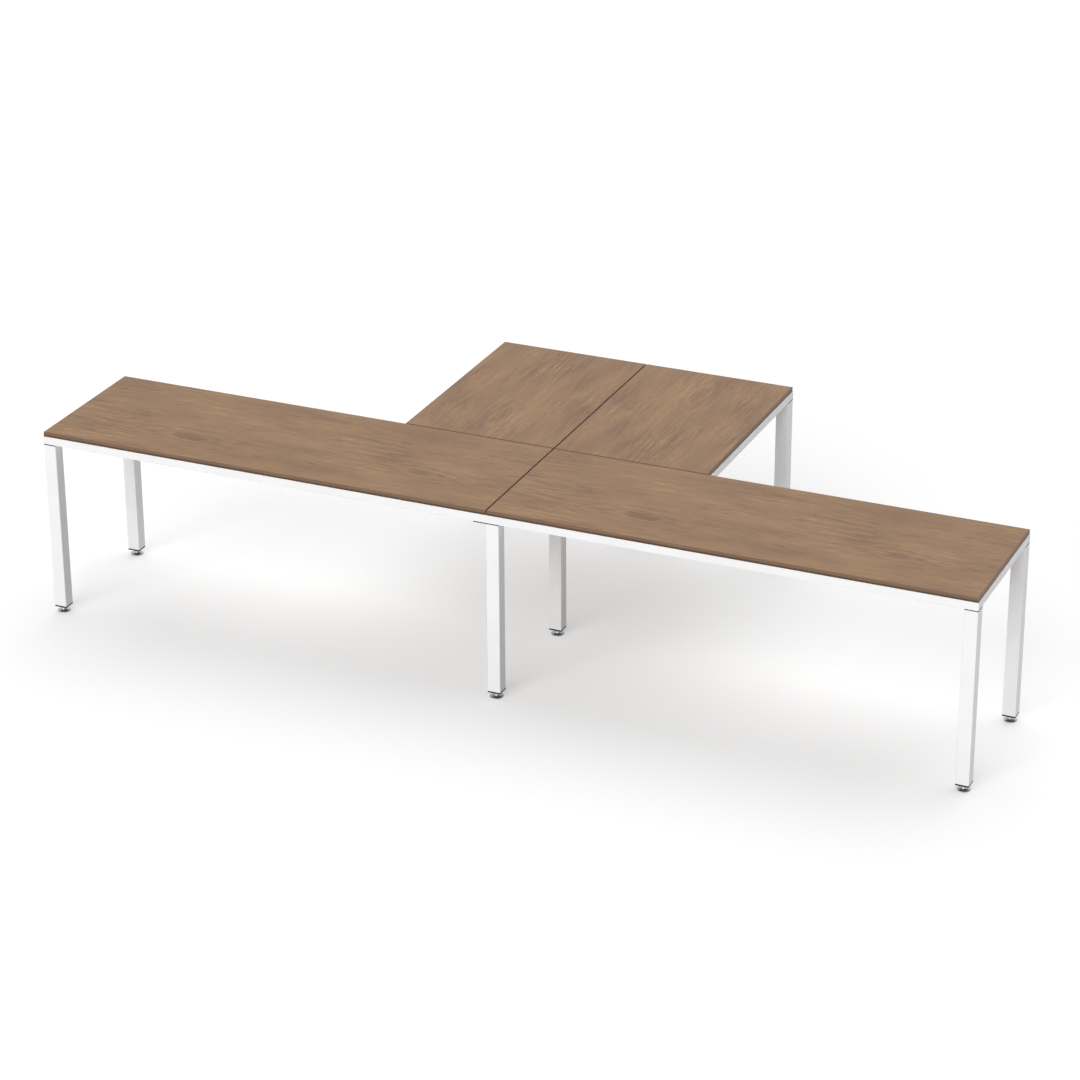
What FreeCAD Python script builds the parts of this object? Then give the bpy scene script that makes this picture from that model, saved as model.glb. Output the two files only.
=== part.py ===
import FreeCAD
import Part
import math
import os
from collections import namedtuple

# T-shaped bench desk: two long tops end to end form the bar of the T, two shorter tops side by side
# form its stem. Each top lies on a welded frame of mitred rectangular tube, and the frames are bolted
# to shared square-tube legs that stand on levelling feet.
# Millimetres. +X runs along the bar, +Y from the front edge towards the stem, +Z up, origin on the
# floor below the middle of the desk.

Vector = FreeCAD.Vector
Rotation = FreeCAD.Rotation
Placement = FreeCAD.Placement
UP = Vector(0, 0, 1)

# Tops
desk_height = 740.0
bar_top_length = 1800.0
bar_top_depth = 600.0
stem_top_width = 600.0
stem_top_length = 900.0
top_thickness = 18.0
top_setback = 2.0
band_thickness = 2.0
band_easing = 0.8

# Frame rails
rail_height = 30.0
rail_width = 50.0
rail_wall = 1.5
rail_corner_radius = 2.0
access_hole_radius = 8.0

# Legs
leg_side = 50.0
leg_wall = 2.0
leg_corner_radius = 3.0
leg_cap_thickness = 5.0

# Dark plates between the frames and the legs
plate_thickness = 3.0

# End plugs of the legs
plug_flange_thickness = 6.0
plug_depth = 25.0
plug_clearance = 0.15
plug_corner_radius = 1.0

# Levelling feet
foot_height = 23.0
foot_radius = 25.0
foot_rim_height = 3.0
foot_shoulder = 1.0
foot_neck_radius = 9.0
foot_neck_height = 3.0
foot_flare_share = 0.3
nut_height = 8.0
nut_across_flats = 17.0
stud_radius = 5.0
stud_rise = 8.0
stud_chamfer = 1.0
pivot_radius = 4.0
pivot_depth = 7.0
pivot_end_gap = 0.5
running_clearance = 0.08

# Bolts between the frames, the plates and the legs
bolt_radius = 3.0
bolt_clearance = 0.3
thread_clearance = 0.1
bolt_head_height = 4.0
bolt_head_across_flats = 10.0
bolt_end = 1.5
bolt_near_share = 0.3
bolt_far_share = 0.7

# Tabs and screws that hold the tops down
tab_width = 30.0
tab_reach = 24.0
tab_drop = 20.0
tab_thickness = 2.5
tab_bend_radius = 3.0
screw_radius = 2.0
screw_length = 14.0
screw_head_radius = 4.0
screw_head_height = 2.5
screw_clearance = 0.4
pilot_clearance = 0.05
pilot_end_gap = 0.5
bar_tab_shares = (0.15, 0.5, 0.85)
stem_tab_shares = (0.2, 0.8)

# One overrun for all cuts
overrun = 1.0

# Heights of the stack, from the top down
rail_top_z = desk_height - top_thickness
rail_bottom_z = rail_top_z - rail_height
leg_top_z = rail_bottom_z - plate_thickness
leg_bottom_z = foot_height + plug_flange_thickness

# Underside of a foot's hexagon, which turns on the foot's neck
nut_low_z = foot_height - nut_height

# Outer sizes of the frames, which stand out from the tops by the setback
bar_frame_length = bar_top_length + 2 * top_setback
bar_frame_depth = bar_top_depth + 2 * top_setback
stem_frame_width = stem_top_width + 2 * top_setback
stem_frame_length = stem_top_length + 2 * top_setback
desk_depth = bar_frame_depth + stem_frame_length

# Front face, joint between bar and stem, and far face
front_y = -desk_depth / 2
joint_y = front_y + bar_frame_depth
far_y = desk_depth / 2

# Bolt places, measured from a frame's outer corner along and across its rails
bolt_near = bolt_near_share * leg_side
bolt_far = bolt_far_share * leg_side

# A fixing screw stands in the middle of the flat of its tab's upper wing
screw_reach = (tab_bend_radius + tab_reach) / 2

Frame = namedtuple("Frame", "name low_x low_y size_x size_y tab_sides tab_shares")
Side = namedtuple("Side", "name corner_x corner_y heading run")
Leg = namedtuple("Leg", "name corner_x corner_y into_x into_y")

frames = (
    Frame("bar_left", -bar_frame_length, front_y, bar_frame_length, bar_frame_depth,
          ("front", "rear"), bar_tab_shares),
    Frame("bar_right", 0, front_y, bar_frame_length, bar_frame_depth,
          ("front", "rear"), bar_tab_shares),
    Frame("stem_left", -stem_frame_width, joint_y, stem_frame_width, stem_frame_length,
          ("left", "right"), stem_tab_shares),
    Frame("stem_right", 0, joint_y, stem_frame_width, stem_frame_length,
          ("left", "right"), stem_tab_shares),
)

# Each leg fills the outer corner of a frame. The middle legs belong to the right-hand frames.
legs = (
    Leg("front_left", -bar_frame_length, front_y, 1, 1),
    Leg("rear_left", -bar_frame_length, joint_y, 1, -1),
    Leg("front_middle", 0, front_y, 1, 1),
    Leg("rear_middle", 0, joint_y, 1, -1),
    Leg("front_right", bar_frame_length, front_y, -1, 1),
    Leg("rear_right", bar_frame_length, joint_y, -1, -1),
    Leg("stem_left", -stem_frame_width, far_y, 1, -1),
    Leg("stem_middle", 0, far_y, 1, -1),
    Leg("stem_right", stem_frame_width, far_y, -1, -1),
)

# Corners that hang on a link plate: frame corners with no leg below, and the bar's rear rails
# where the stem's outer corners meet them
link_corners = (
    (0, front_y, -1, 1),
    (0, joint_y, -1, -1),
    (0, joint_y, -1, 1),
    (0, joint_y, 1, 1),
    (0, far_y, -1, -1),
    (-stem_frame_width, joint_y, 1, 1),
    (-stem_frame_width, joint_y, 1, -1),
    (stem_frame_width, joint_y, -1, 1),
    (stem_frame_width, joint_y, -1, -1),
)


def frame_sides(low_x, low_y, size_x, size_y):
    """The four sides of a rectangle in turn, each with its inside on the left of its heading."""
    high_x = low_x + size_x
    high_y = low_y + size_y
    return (
        Side("front", low_x, low_y, 0, size_x),
        Side("right", high_x, low_y, 90, size_y),
        Side("rear", high_x, high_y, 180, size_x),
        Side("left", low_x, high_y, 270, size_y),
    )


def side_placement(side, z):
    """Placement that lays a piece made along +X, with its inside towards +Y, on a side."""
    return Placement(Vector(side.corner_x, side.corner_y, z), Rotation(UP, side.heading))


def rounded_rectangle(size_x, size_y, radius):
    """Face of a rectangle with round corners, centred on the origin."""
    half_x = size_x / 2
    half_y = size_y / 2
    in_x = half_x - radius
    in_y = half_y - radius
    bulge = radius * math.sqrt(0.5)
    edges = []
    for sx, sy in ((1, 1), (-1, 1), (-1, -1), (1, -1)):
        side_end = Vector(sx * half_x, sy * in_y, 0)
        middle = Vector(sx * (in_x + bulge), sy * (in_y + bulge), 0)
        level_end = Vector(sx * in_x, sy * half_y, 0)
        first, last = (side_end, level_end) if sx * sy > 0 else (level_end, side_end)
        if edges:
            edges.append(Part.LineSegment(edges[-1].lastVertex().Point, first).toShape())
        edges.append(Part.Arc(first, middle, last).toShape())
    edges.append(Part.LineSegment(edges[-1].lastVertex().Point, edges[0].firstVertex().Point).toShape())
    return Part.Face(Part.Wire(edges))


def polygon_face(points):
    """Face of a closed polygon."""
    return Part.Face(Part.makePolygon(list(points) + [points[0]]))


def hexagon(across_flats):
    """Face of a hexagon on the origin, with two corners along X."""
    corner_radius = across_flats / math.sqrt(3)
    corner = Vector(corner_radius, 0, 0)
    return polygon_face([Rotation(UP, 60 * step).multVec(corner) for step in range(6)])


def upright_cylinder(radius, low_z, high_z, x=0, y=0):
    """Upright cylinder between two heights."""
    return Part.makeCylinder(radius, high_z - low_z, Vector(x, y, low_z))


def moved(shape, x, y, z):
    """Copy of a shape, moved."""
    copy = shape.copy()
    copy.translate(Vector(x, y, z))
    return copy


def save(node, shapes):
    """Write one node: a single solid, or several separate ones."""
    shape = shapes[0] if len(shapes) == 1 else Part.makeCompound(shapes)
    shape.exportStep(os.path.join("parts", node + ".step"))


def corner_bolts(into_x, into_y):
    """The two bolt places of a corner, on either side of its mitre."""
    return (
        (into_x * bolt_far, into_y * bolt_near),
        (into_x * bolt_near, into_y * bolt_far),
    )


def rail_bolt_places(frame, side):
    """Bolt places in a rail's bottom wall: along the rail and in from its outer face."""
    places = [(bolt_far, bolt_near), (side.run - bolt_far, bolt_near)]
    if side.name == "rear" and frame.name.startswith("bar"):
        stem_corner = stem_frame_width if frame.low_x == 0 else -stem_frame_width
        inward = -1 if frame.low_x == 0 else 1
        for along, across in corner_bolts(inward, 1):
            places.append((side.corner_x - (stem_corner + along), across))
    return places


def rail(run, bolt_places):
    """Rectangular tube with mitred ends, bolt holes below and access holes above them."""
    outer = rounded_rectangle(rail_height, rail_width, rail_corner_radius)
    bore = rounded_rectangle(rail_height - 2 * rail_wall, rail_width - 2 * rail_wall,
                             rail_corner_radius - rail_wall)
    section = outer.cut(bore)
    section.rotate(Vector(), Vector(0, 1, 0), 90)
    section.translate(Vector(0, rail_width / 2, rail_height / 2))
    tube = section.extrude(Vector(run, 0, 0))
    reach = rail_width + overrun
    for corner, direction in ((0, 1), (run, -1)):
        wedge = polygon_face([
            Vector(corner - direction * overrun, -overrun, -overrun),
            Vector(corner + direction * reach, reach, -overrun),
            Vector(corner - direction * overrun, reach, -overrun),
        ])
        tube = tube.cut(wedge.extrude(Vector(0, 0, rail_height + 2 * overrun)))
    holes = []
    for along, across in bolt_places:
        holes.append(upright_cylinder(bolt_radius + bolt_clearance, -overrun,
                                      rail_wall + overrun, along, across))
        holes.append(upright_cylinder(access_hole_radius, rail_height - rail_wall - overrun,
                                      rail_height + overrun, along, across))
    return tube.cut(holes).Solids[0]


def band_strip(run):
    """Edge band of one side, with eased upper and lower arrises."""
    bulge = band_easing * (1 - math.sqrt(0.5))
    low = Vector(0, band_easing, 0)
    low_middle = Vector(0, bulge, bulge)
    low_end = Vector(0, 0, band_easing)
    high = Vector(0, 0, top_thickness - band_easing)
    high_middle = Vector(0, bulge, top_thickness - bulge)
    high_end = Vector(0, band_easing, top_thickness)
    back_high = Vector(0, band_thickness, top_thickness)
    back_low = Vector(0, band_thickness, 0)
    outline = Part.Wire([
        Part.Arc(low, low_middle, low_end).toShape(),
        Part.LineSegment(low_end, high).toShape(),
        Part.Arc(high, high_middle, high_end).toShape(),
        Part.LineSegment(high_end, back_high).toShape(),
        Part.LineSegment(back_high, back_low).toShape(),
        Part.LineSegment(back_low, low).toShape(),
    ])
    return Part.Face(outline).extrude(Vector(run, 0, 0))


def fixing_tab():
    """Bent steel tab: one wing against a rail's inner face, the other under the top."""
    inner = tab_bend_radius - tab_thickness
    outer_middle = tab_bend_radius * (1 - math.sqrt(0.5))
    inner_middle = tab_bend_radius - inner * math.sqrt(0.5)
    points = (
        Vector(0, 0, -tab_drop),
        Vector(0, 0, -tab_bend_radius),
        Vector(0, outer_middle, -outer_middle),
        Vector(0, tab_bend_radius, 0),
        Vector(0, tab_reach, 0),
        Vector(0, tab_reach, -tab_thickness),
        Vector(0, tab_bend_radius, -tab_thickness),
        Vector(0, inner_middle, -inner_middle),
        Vector(0, tab_thickness, -tab_bend_radius),
        Vector(0, tab_thickness, -tab_drop),
    )
    outline = Part.Wire([
        Part.LineSegment(points[0], points[1]).toShape(),
        Part.Arc(points[1], points[2], points[3]).toShape(),
        Part.LineSegment(points[3], points[4]).toShape(),
        Part.LineSegment(points[4], points[5]).toShape(),
        Part.LineSegment(points[5], points[6]).toShape(),
        Part.Arc(points[6], points[7], points[8]).toShape(),
        Part.LineSegment(points[8], points[9]).toShape(),
        Part.LineSegment(points[9], points[0]).toShape(),
    ])
    tab = Part.Face(outline).extrude(Vector(tab_width, 0, 0))
    tab.translate(Vector(-tab_width / 2, 0, 0))
    hole = upright_cylinder(screw_radius + screw_clearance, -tab_thickness - overrun,
                            overrun, 0, screw_reach)
    return tab.cut(hole).Solids[0]


def fixing_screw():
    """Pan-head screw, head against the underside of a tab."""
    head = upright_cylinder(screw_head_radius, -tab_thickness - screw_head_height,
                            -tab_thickness, 0, screw_reach)
    shank = upright_cylinder(screw_radius, -tab_thickness,
                             screw_length - tab_thickness, 0, screw_reach)
    return head.fuse(shank).removeSplitter().Solids[0]


def pilot_hole():
    """Blind hole in the board for a fixing screw."""
    depth = screw_length - tab_thickness + pilot_end_gap
    return upright_cylinder(screw_radius + pilot_clearance, -overrun, depth, 0, screw_reach)


def tab_placements(frame):
    """Placements of a frame's tabs on the inner faces of its rails, at the height of the rails' top."""
    placements = []
    for side in frame_sides(*frame[1:5]):
        if side.name in frame.tab_sides:
            base = side_placement(side, rail_top_z)
            for share in frame.tab_shares:
                offset = Placement(Vector(share * side.run, rail_width, 0), Rotation())
                placements.append(base.multiply(offset))
    return placements


def placed(shape, placement):
    """Copy of a shape at a placement."""
    copy = shape.copy()
    copy.Placement = placement.multiply(copy.Placement)
    return copy


def plate(size_x, size_y, bolt_places, hole_radius):
    """Dark steel plate below a frame, centred on the origin, with its lower face at zero."""
    blank = rounded_rectangle(size_x, size_y, leg_corner_radius).extrude(Vector(0, 0, plate_thickness))
    holes = [upright_cylinder(hole_radius, -overrun, plate_thickness + overrun, x, y)
             for x, y in bolt_places]
    return blank.cut(holes).Solids[0]


def corner_plate(leg):
    """Plate of a leg that carries one frame."""
    half = leg_side / 2
    places = [(x - leg.into_x * half, y - leg.into_y * half)
              for x, y in corner_bolts(leg.into_x, leg.into_y)]
    blank = plate(leg_side, leg_side, places, bolt_radius + bolt_clearance)
    return moved(blank, leg.corner_x + leg.into_x * half, leg.corner_y + leg.into_y * half, leg_top_z)


def link_plate(x, y, turn):
    """Plate across two frames that meet at a joint line, which runs through the plate's middle."""
    half = leg_side / 2
    places = [(px, py - half) for side in (1, -1) for px, py in corner_bolts(side, 1)]
    blank = plate(2 * leg_side, leg_side, places, bolt_radius + thread_clearance)
    blank.translate(Vector(0, half, 0))
    return placed(blank, Placement(Vector(x, y, leg_top_z), Rotation(UP, turn)))


def centre_plate():
    """Plate across the four frame corners that meet where the stem joins the bar."""
    places = [place for sx in (1, -1) for sy in (1, -1) for place in corner_bolts(sx, sy)]
    blank = plate(2 * leg_side, 2 * leg_side, places, bolt_radius + thread_clearance)
    return moved(blank, 0, joint_y, leg_top_z)


def leg_tube(leg):
    """Square tube with a tapped plate welded into its upper end."""
    height = leg_top_z - leg_bottom_z
    outer = rounded_rectangle(leg_side, leg_side, leg_corner_radius)
    bore_side = leg_side - 2 * leg_wall
    bore = rounded_rectangle(bore_side, bore_side, leg_corner_radius - leg_wall)
    tube = outer.cut(bore).extrude(Vector(0, 0, height))
    cap = bore.extrude(Vector(0, 0, leg_cap_thickness))
    cap.translate(Vector(0, 0, height - leg_cap_thickness))
    body = tube.fuse(cap).removeSplitter()
    half = leg_side / 2
    body.translate(Vector(leg.corner_x + leg.into_x * half, leg.corner_y + leg.into_y * half, leg_bottom_z))
    holes = []
    for x, y in corner_bolts(leg.into_x, leg.into_y):
        holes.append(upright_cylinder(bolt_radius + thread_clearance, leg_top_z - leg_cap_thickness - overrun,
                                      leg_top_z + overrun, leg.corner_x + x, leg.corner_y + y))
    return body.cut(holes).Solids[0]


def end_plug():
    """Moulded plug in a leg's lower end, with a flange and a threaded bore."""
    flange_outline = rounded_rectangle(leg_side, leg_side, leg_corner_radius)
    flange = flange_outline.extrude(Vector(0, 0, plug_flange_thickness))
    side = leg_side - 2 * leg_wall - 2 * plug_clearance
    body = rounded_rectangle(side, side, plug_corner_radius).extrude(Vector(0, 0, plug_depth))
    body.translate(Vector(0, 0, plug_flange_thickness))
    top = plug_flange_thickness + plug_depth
    bore = upright_cylinder(stud_radius + running_clearance, -overrun, top + overrun)
    plug = flange.fuse(body).cut(bore).removeSplitter().Solids[0]
    plug.translate(Vector(0, 0, foot_height))
    return plug


def foot_base():
    """Flared steel disc with a blind socket for the stud's pivot."""
    flare_low_z = foot_rim_height
    flare_high_z = nut_low_z - foot_neck_height
    flare_low = Vector(foot_radius - foot_shoulder, 0, flare_low_z)
    flare_high = Vector(foot_neck_radius, 0, flare_high_z)
    flare_x = flare_high.x + foot_flare_share * (flare_low.x - flare_high.x)
    flare_z = flare_low.z + foot_flare_share * (flare_high.z - flare_low.z)
    socket_radius = pivot_radius + running_clearance
    socket_z = nut_low_z - pivot_depth - pivot_end_gap
    points = (
        Vector(0, 0, 0),
        Vector(foot_radius, 0, 0),
        Vector(foot_radius, 0, flare_low_z),
        flare_low,
        flare_high,
        Vector(foot_neck_radius, 0, nut_low_z),
        Vector(socket_radius, 0, nut_low_z),
        Vector(socket_radius, 0, socket_z),
        Vector(0, 0, socket_z),
    )
    flare = Part.Arc(flare_low, Vector(flare_x, 0, flare_z), flare_high).toShape()
    edges = []
    for start, end in zip(points, points[1:] + points[:1]):
        edges.append(flare if start == flare_low else Part.LineSegment(start, end).toShape())
    return Part.Face(Part.Wire(edges)).revolve(Vector(), UP, 360)


def foot_stud():
    """Threaded stud with its hexagon and the pivot that turns in the foot."""
    top_z = foot_height + plug_flange_thickness + plug_depth + stud_rise
    profile = polygon_face([
        Vector(0, 0, nut_low_z - pivot_depth),
        Vector(pivot_radius, 0, nut_low_z - pivot_depth),
        Vector(pivot_radius, 0, nut_low_z),
        Vector(stud_radius, 0, nut_low_z),
        Vector(stud_radius, 0, top_z - stud_chamfer),
        Vector(stud_radius - stud_chamfer, 0, top_z),
        Vector(0, 0, top_z),
    ])
    shaft = profile.revolve(Vector(), UP, 360)
    nut = hexagon(nut_across_flats).extrude(Vector(0, 0, nut_height))
    nut.translate(Vector(0, 0, nut_low_z))
    return shaft.fuse(nut).removeSplitter().Solids[0]


def bolt(x, y, length):
    """Hexagon-head bolt that stands head up on a rail's bottom wall."""
    seat_z = rail_bottom_z + rail_wall
    head = hexagon(bolt_head_across_flats).extrude(Vector(0, 0, bolt_head_height))
    shank = upright_cylinder(bolt_radius, -length, 0)
    return moved(head.fuse(shank).removeSplitter().Solids[0], x, y, seat_z)


def bolts(corners, length):
    """Two bolts in each of some corners, given by their place and inward directions."""
    group = []
    for corner_x, corner_y, into_x, into_y in corners:
        for x, y in corner_bolts(into_x, into_y):
            group.append(bolt(corner_x + x, corner_y + y, length))
    return group


def board(frame, pilot_places):
    """Laminated core of a top, inside its edge bands."""
    inset = top_setback + band_thickness
    core = Part.makeBox(frame.size_x - 2 * inset, frame.size_y - 2 * inset, top_thickness,
                        Vector(frame.low_x + inset, frame.low_y + inset, rail_top_z))
    return core.cut([placed(pilot_hole(), place) for place in pilot_places]).Solids[0]


def edge_bands(frame):
    """The four strips round a top, each butted against the next."""
    strips = []
    for side in frame_sides(frame.low_x + top_setback, frame.low_y + top_setback,
                            frame.size_x - 2 * top_setback, frame.size_y - 2 * top_setback):
        strips.append(placed(band_strip(side.run - band_thickness), side_placement(side, rail_top_z)))
    return strips


def main():
    """Build every node and write it."""
    os.makedirs("parts", exist_ok=True)

    tabs = []
    screws = []
    for frame in frames:
        places = tab_placements(frame)
        save(frame.name + "_top", [board(frame, places)])
        save(frame.name + "_edge_band", edge_bands(frame))
        for side in frame_sides(*frame[1:5]):
            tube = rail(side.run, rail_bolt_places(frame, side))
            save(frame.name + "_" + side.name + "_rail", [placed(tube, side_placement(side, rail_bottom_z))])
        tabs += [placed(fixing_tab(), place) for place in places]
        screws += [placed(fixing_screw(), place) for place in places]
    save("top_fixing_tabs", tabs)
    save("top_fixing_screws", screws)

    plugs = []
    for leg in legs:
        centre_x = leg.corner_x + leg.into_x * leg_side / 2
        centre_y = leg.corner_y + leg.into_y * leg_side / 2
        save(leg.name + "_leg", [leg_tube(leg)])
        save(leg.name + "_foot", [moved(foot_base(), centre_x, centre_y, 0)])
        save(leg.name + "_foot_stud", [moved(foot_stud(), centre_x, centre_y, 0)])
        plugs.append(moved(end_plug(), centre_x, centre_y, 0))
    save("leg_end_plugs", plugs)

    shared = ("front_middle", "rear_middle", "stem_middle")
    save("leg_spacer_plates", [corner_plate(leg) for leg in legs if leg.name not in shared])
    save("frame_link_plates", [
        link_plate(0, front_y, 0),
        link_plate(0, far_y, 180),
        link_plate(-stem_frame_width, joint_y, 270),
        link_plate(stem_frame_width, joint_y, 90),
    ])
    save("centre_link_plate", [centre_plate()])

    leg_bolt_length = rail_wall + plate_thickness + leg_cap_thickness
    link_bolt_length = rail_wall + plate_thickness + bolt_end
    save("leg_bolts", bolts([leg[1:] for leg in legs], leg_bolt_length))
    save("frame_link_bolts", bolts(link_corners, link_bolt_length))


main()
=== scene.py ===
import logging
import math
from dataclasses import dataclass
from enum import Enum
from typing import Sequence

import bpy
from mathutils import Matrix, Vector


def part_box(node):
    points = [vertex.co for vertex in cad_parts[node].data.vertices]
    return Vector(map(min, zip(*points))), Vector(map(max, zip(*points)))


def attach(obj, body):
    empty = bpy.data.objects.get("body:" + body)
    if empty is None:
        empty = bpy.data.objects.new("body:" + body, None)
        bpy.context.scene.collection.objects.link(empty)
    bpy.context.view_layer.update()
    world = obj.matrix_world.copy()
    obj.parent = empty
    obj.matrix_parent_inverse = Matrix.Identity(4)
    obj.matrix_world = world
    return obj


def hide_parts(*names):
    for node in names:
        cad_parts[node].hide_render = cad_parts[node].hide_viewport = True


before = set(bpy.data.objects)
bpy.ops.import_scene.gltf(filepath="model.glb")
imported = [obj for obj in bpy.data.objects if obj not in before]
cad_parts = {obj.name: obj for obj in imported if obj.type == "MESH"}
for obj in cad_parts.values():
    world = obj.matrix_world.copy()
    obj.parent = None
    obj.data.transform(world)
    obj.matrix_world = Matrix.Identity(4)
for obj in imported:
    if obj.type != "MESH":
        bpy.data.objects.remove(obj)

# A T-shaped bench desk in walnut-look laminate on a white steel tube frame, dressed and lit for
# its portrait. Metres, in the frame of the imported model: +X along the bar of the T, +Y towards
# the stem, +Z up.

LOG = logging.getLogger("desk")
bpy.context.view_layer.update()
MM = 0.001
# A print lies on the surface, so its cells are far deeper than a board
CELL_DEPTH_MM = 1000.0
# Reach from a knot, in arches, that no place on a top attains
FAR_AWAY = 10.0

LEG_NAMES = (
    "front_left", "rear_left",
    "front_middle", "rear_middle",
    "front_right", "rear_right",
    "stem_left", "stem_middle", "stem_right",
)

Pair = tuple[float, float]
Triple = tuple[float, float, float]
Stops = tuple[tuple[float, str], ...]
Tree = bpy.types.NodeTree
Socket = bpy.types.NodeSocket


class Grain(Enum):
    """Direction in which the decor of a top runs, as a turn about Z in degrees."""

    ALONG_BAR = 0.0
    ALONG_STEM = -90.0
    BACK_ALONG_STEM = 90.0


class Shading(Enum):
    """How the faces of a new piece are shaded, as the largest angle in degrees that is smoothed."""

    TURNED = 40.0
    FACETED = 20.0


def linear(colour: str) -> tuple[float, float, float, float]:
    """Turn an sRGB hex value into a linear colour.

    Args:
        colour: Six hex digits after a hash.

    Returns:
        Linear red, green, blue and an alpha of one.
    """
    values = []
    for start in (1, 3, 5):
        share = int(colour[start:start + 2], 16) / 255
        values.append(share / 12.92 if share <= 0.04045 else ((share + 0.055) / 1.055) ** 2.4)
    return (values[0], values[1], values[2], 1.0)


def add_node(
    tree: Tree,
    kind: str,
    inputs: dict[str | int, object] | None = None,
    stops: Stops = (),
    **settings: object,
) -> bpy.types.Node:
    """Add a shader node, set it and link it.

    Args:
        tree: Node tree that takes the node.
        kind: Node type without its ShaderNode prefix.
        inputs: Values, or output sockets to link, by the name or number of the input.
        stops: Rising places from 0 to 1 with their sRGB colours, for a colour ramp.
        settings: Properties of the node.

    Returns:
        The new node.
    """
    node = tree.nodes.new("ShaderNode" + kind)
    for name, value in settings.items():
        setattr(node, name, value)
    for name, value in (inputs or {}).items():
        if isinstance(value, bpy.types.NodeSocket):
            tree.links.new(value, node.inputs[name])
        else:
            node.inputs[name].default_value = value
    for number, (place, colour) in enumerate(stops):
        elements = node.color_ramp.elements
        element = elements[number] if number < len(elements) else elements.new(place)
        element.position = place
        element.color = linear(colour)
    return node


def empty_material(name: str) -> tuple[bpy.types.Material, Tree]:
    """Make a material with no nodes.

    Args:
        name: Name of the material.

    Returns:
        The material and its node tree.
    """
    material = bpy.data.materials.new(name)
    material.use_nodes = True
    material.node_tree.nodes.clear()
    return material, material.node_tree


def finish_surface(tree: Tree, inputs: dict[str | int, object]) -> None:
    """Close a material with a principled shader on its output.

    Args:
        tree: Node tree of the material.
        inputs: Values or sockets of the shader, by name.
    """
    shader = add_node(tree, "BsdfPrincipled", inputs)
    add_node(tree, "OutputMaterial", {"Surface": shader.outputs["BSDF"]})


def stretched(size_mm: Triple) -> Triple:
    """Mapping scale that gives a noise one cell per stated size.

    Args:
        size_mm: Length of a cell along each axis, in millimetres.

    Returns:
        Scale for a Mapping node that reads metres.
    """
    return (1 / (size_mm[0] * MM), 1 / (size_mm[1] * MM), 1 / (size_mm[2] * MM))


@dataclass(frozen=True)
class PrintLayer:
    """One layer of a printed decor: a noise drawn out along the grain.

    Attributes:
        cell_mm: Length and width of a cell.
        detail: Finer noises on top of the first.
        roughness: Share of each finer noise.
    """

    cell_mm: Pair
    detail: float
    roughness: float

    def draw(self, tree: Tree, place: Socket) -> Socket:
        """Draw the layer.

        Args:
            tree: Node tree that takes the layer.
            place: Socket of the place on the decor, in metres.

        Returns:
            Socket of the layer, which lies about one half.
        """
        scale = stretched((*self.cell_mm, CELL_DEPTH_MM))
        scaled = add_node(tree, "Mapping", {"Vector": place, "Scale": scale})
        noise = add_node(tree, "TexNoise", {
            "Vector": scaled.outputs["Vector"],
            "Scale": 1.0,
            "Detail": self.detail,
            "Roughness": self.roughness,
        })
        return noise.outputs["Fac"]


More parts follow.
